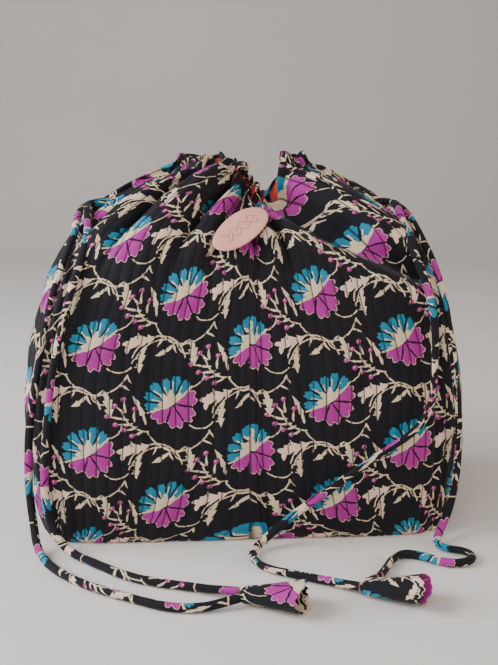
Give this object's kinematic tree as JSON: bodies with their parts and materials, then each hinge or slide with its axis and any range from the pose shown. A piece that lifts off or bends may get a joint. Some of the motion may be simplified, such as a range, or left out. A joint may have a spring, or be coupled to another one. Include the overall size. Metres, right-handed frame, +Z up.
{
  "type": "knitting bag",
  "caption": "Quilted cotton drawstring bag with a flat base, a gathered lined mouth, an oval label and two drawstrings whose ends are joined in cloth tips.",
  "frame": {"origin": "middle of the base, on the surface that the bag stands on", "axes": "+X to the bag's right along its width, -Y to the front with the label, +Z up"},
  "size_m": [0.3448, 0.297, 0.288],
  "materials": {
    "printed_cotton": "matte",
    "wadding": "matte",
    "red_lining": "matte",
    "pink_leather": "satin",
    "drawstring": "matte"
  },
  "bodies": {
    "root": {"back_casing": "printed_cotton", "back_gather": "printed_cotton", "back_gather_lining": "red_lining", "drawstrings_in_back_casing": "drawstring", "left_casing": "printed_cotton", "left_gather": "printed_cotton", "left_gather_lining": "red_lining", "left_ruffle": "printed_cotton", "lining_back": "red_lining", "lining_base": "red_lining", "lining_front": "red_lining", "lining_left": "red_lining", "lining_right": "red_lining", "outer_back": "printed_cotton", "outer_base": "printed_cotton", "outer_front": "printed_cotton", "outer_left": "printed_cotton", "outer_right": "printed_cotton", "right_casing": "printed_cotton", "right_gather": "printed_cotton", "right_gather_lining": "red_lining", "right_ruffle": "printed_cotton", "wadding_back": "wadding", "wadding_base": "wadding", "wadding_front": "wadding", "wadding_left": "wadding", "wadding_right": "wadding"},
    "front_lip": {"front_gather": "printed_cotton", "front_gather_lining": "red_lining", "front_casing": "printed_cotton", "drawstrings_in_front_casing": "drawstring", "label": "pink_leather"},
    "left_drawstring": {"left_front_strand": "drawstring", "left_rear_strand": "drawstring", "left_cord_ends": "drawstring"},
    "right_drawstring": {"right_front_strand": "drawstring", "right_side_strand": "drawstring", "right_cord_ends": "drawstring"},
    "left_cord_tip": {"left_tip": "printed_cotton"},
    "right_cord_tip": {"right_tip": "printed_cotton"}
  },
  "joints": [
    {"name": "mouth_front", "type": "hinge", "parent": "root", "child": "front_lip", "pos_m": [0, -0.0845, 0.2], "axis": [1, 0, 0], "range_deg": [0, 20]},
    {"name": "pull_left", "type": "slide", "parent": "root", "child": "left_drawstring", "axis": [-1, 0, 0], "range_m": [0, 0.018]},
    {"name": "pull_right", "type": "slide", "parent": "root", "child": "right_drawstring", "axis": [1, 0, 0], "range_m": [0, 0.018]},
    {"name": "left_tip_swing", "type": "hinge", "parent": "left_drawstring", "child": "left_cord_tip", "pos_m": [-0.004, -0.1795, 0.007], "axis": [0, 0, 1], "range_deg": [-20, 20]},
    {"name": "right_tip_swing", "type": "hinge", "parent": "right_drawstring", "child": "right_cord_tip", "pos_m": [0.077, -0.174, 0.007], "axis": [0, 0, 1], "range_deg": [-20, 20]}
  ]
}
